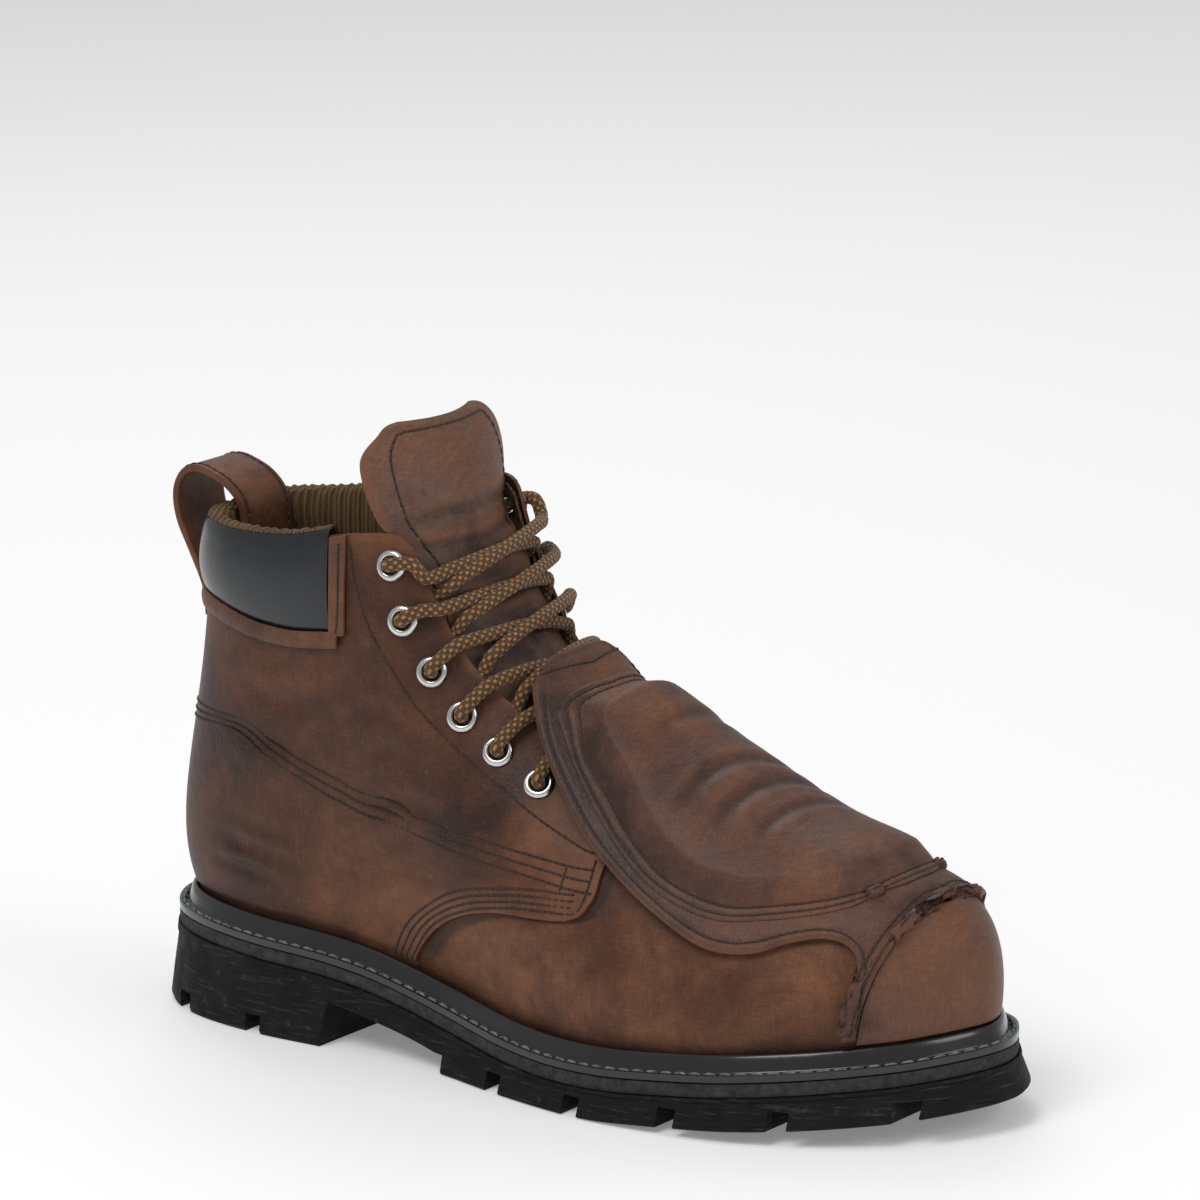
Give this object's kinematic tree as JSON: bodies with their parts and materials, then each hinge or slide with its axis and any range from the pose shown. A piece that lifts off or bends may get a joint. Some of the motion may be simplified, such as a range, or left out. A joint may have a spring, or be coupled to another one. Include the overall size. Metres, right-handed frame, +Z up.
{
  "type": "metatarsal guard boot",
  "caption": "Right work boot, ankle high, with a domed metatarsal guard flap over the vamp, toe cap, laced throat, padded collar, heel pull loop, storm welt and lugged rubber sole.",
  "frame": {"origin": "middle of the heel tread, on the floor the boot stands on", "axes": "+X towards the toe, +Y towards the medial side, +Z up"},
  "size_m": [0.322, 0.116, 0.2027],
  "materials": {
    "brown_leather": "oiled pull-up",
    "pad_leather": "smooth",
    "black_rubber": "matte moulded",
    "fibre_midsole": "rough fibre board",
    "storm_welt": "glossy",
    "insole_board": "felt",
    "bright_steel": "polished",
    "braided_cord": "braided"
  },
  "bodies": {
    "root": {"outsole": "black_rubber", "midsole": "fibre_midsole", "welt": "storm_welt", "insole": "insole_board", "upper": "brown_leather", "toe_cap": "brown_leather", "guard_flap": "brown_leather", "guard_cover": "brown_leather", "tongue": "brown_leather", "backstay": "brown_leather", "pull_loop": "brown_leather", "collar_pad": "pad_leather", "eyelet_lateral_1": "bright_steel", "eyelet_lateral_2": "bright_steel", "eyelet_lateral_3": "bright_steel", "eyelet_lateral_4": "bright_steel", "eyelet_lateral_5": "bright_steel", "eyelet_lateral_6": "bright_steel", "eyelet_medial_1": "bright_steel", "eyelet_medial_2": "bright_steel", "eyelet_medial_3": "bright_steel", "eyelet_medial_4": "bright_steel", "eyelet_medial_5": "bright_steel", "eyelet_medial_6": "bright_steel", "lace_crossing_1": "braided_cord", "lace_crossing_2": "braided_cord", "lace_crossing_3": "braided_cord", "lace_crossing_4": "braided_cord", "lace_crossing_5": "braided_cord", "lace_bar": "braided_cord"}
  },
  "joints": []
}
